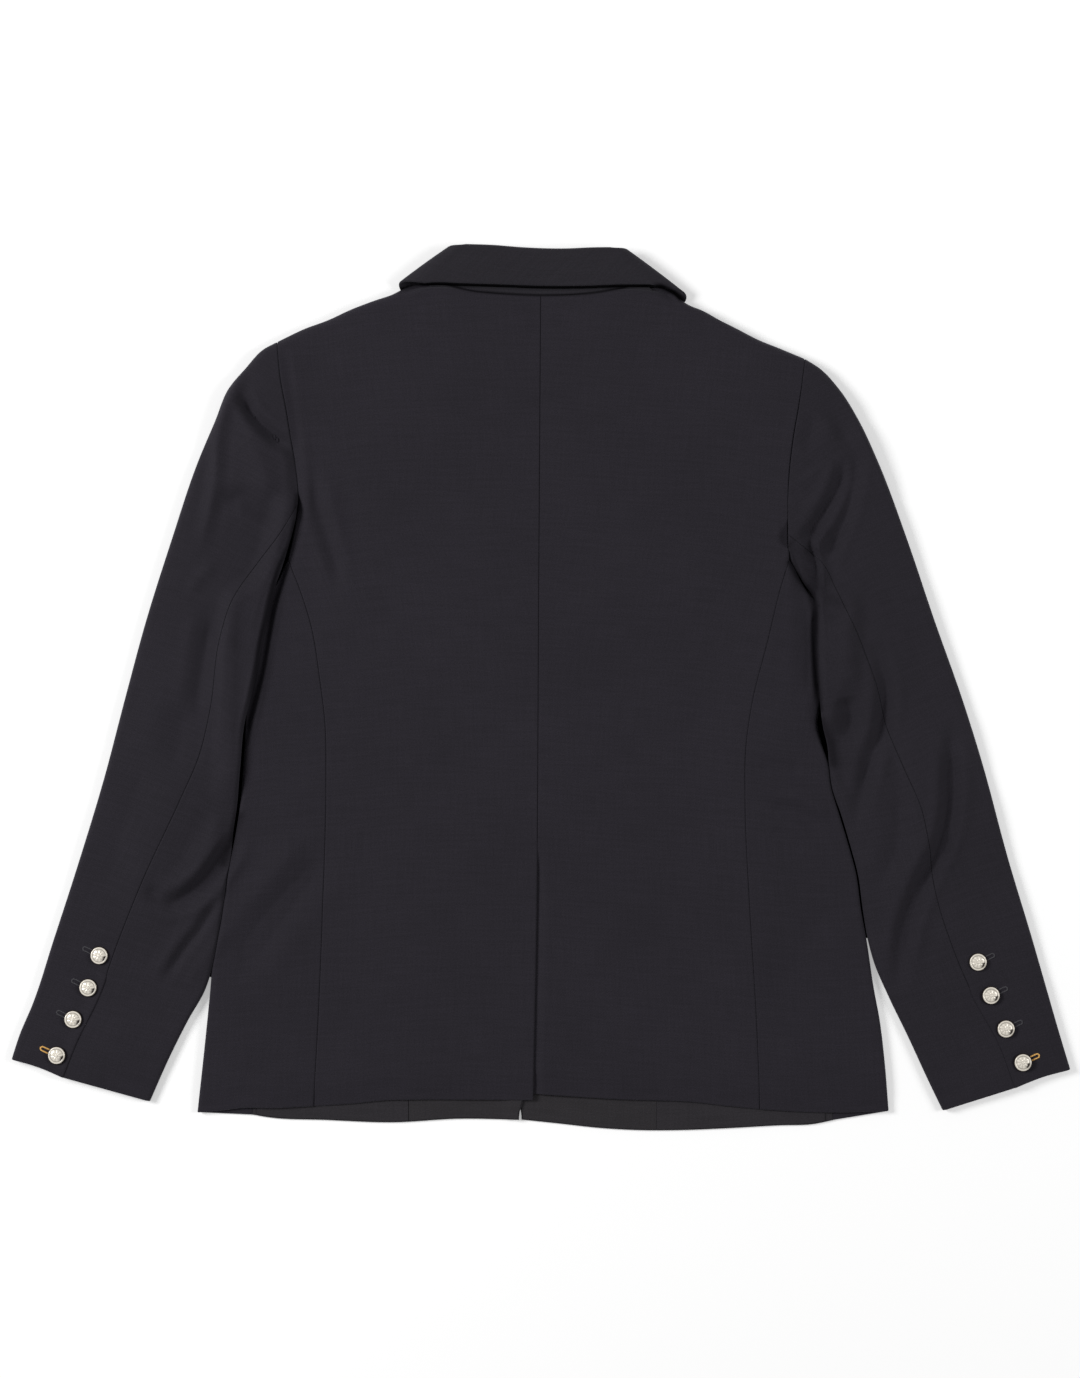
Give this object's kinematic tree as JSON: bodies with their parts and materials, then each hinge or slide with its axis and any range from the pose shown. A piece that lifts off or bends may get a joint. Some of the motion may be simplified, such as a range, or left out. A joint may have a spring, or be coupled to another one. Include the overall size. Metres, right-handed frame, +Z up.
{
  "type": "blazer",
  "caption": "Tailored blazer laid flat, face down: centre-back seam with a vent, side panels, sleeves with metal cuff buttons, and a turned-down collar with notched lapels below.",
  "frame": {"origin": "bottom centre of the box round the blazer, on the surface it lies on", "axes": "+X across the back to the picture's right, +Y from hem to collar, +Z up from the surface"},
  "size_m": [0.878, 0.7358, 0.0184],
  "materials": {
    "back_left": "near-black grey wool suiting, fine weave with a soft nap",
    "side_left": "near-black grey wool suiting, fine weave with a soft nap",
    "front_left": "near-black grey wool suiting, fine weave with a soft nap",
    "lapel_left": "near-black grey wool suiting, fine weave with a soft nap",
    "sleeve_top_left": "near-black grey wool suiting, fine weave with a soft nap",
    "sleeve_under_left": "near-black grey wool suiting, fine weave with a soft nap",
    "back_right": "near-black grey wool suiting, fine weave with a soft nap",
    "side_right": "near-black grey wool suiting, fine weave with a soft nap",
    "front_right": "near-black grey wool suiting, fine weave with a soft nap",
    "lapel_right": "near-black grey wool suiting, fine weave with a soft nap",
    "sleeve_top_right": "near-black grey wool suiting, fine weave with a soft nap",
    "sleeve_under_right": "near-black grey wool suiting, fine weave with a soft nap",
    "collar_fall": "near-black grey wool suiting, fine weave with a soft nap",
    "collar_stand": "near-black grey wool suiting, fine weave with a soft nap",
    "cuff_button_left_1": "pale gold plated metal, satin, with a raised dome and ring",
    "cuff_button_left_2": "pale gold plated metal, satin, with a raised dome and ring",
    "cuff_button_left_3": "pale gold plated metal, satin, with a raised dome and ring",
    "cuff_button_left_4": "pale gold plated metal, satin, with a raised dome and ring",
    "cuff_button_right_1": "pale gold plated metal, satin, with a raised dome and ring",
    "cuff_button_right_2": "pale gold plated metal, satin, with a raised dome and ring",
    "cuff_button_right_3": "pale gold plated metal, satin, with a raised dome and ring",
    "cuff_button_right_4": "pale gold plated metal, satin, with a raised dome and ring",
    "front_button": "pale gold plated metal, satin, with a raised dome and ring"
  },
  "bodies": {
    "root": {"back_left": "back_left", "side_left": "side_left", "front_left": "front_left", "lapel_left": "lapel_left", "sleeve_top_left": "sleeve_top_left", "sleeve_under_left": "sleeve_under_left", "back_right": "back_right", "side_right": "side_right", "front_right": "front_right", "lapel_right": "lapel_right", "sleeve_top_right": "sleeve_top_right", "sleeve_under_right": "sleeve_under_right", "collar_fall": "collar_fall", "collar_stand": "collar_stand", "cuff_button_left_1": "cuff_button_left_1", "cuff_button_left_2": "cuff_button_left_2", "cuff_button_left_3": "cuff_button_left_3", "cuff_button_left_4": "cuff_button_left_4", "cuff_button_right_1": "cuff_button_right_1", "cuff_button_right_2": "cuff_button_right_2", "cuff_button_right_3": "cuff_button_right_3", "cuff_button_right_4": "cuff_button_right_4", "front_button": "front_button"}
  },
  "joints": []
}
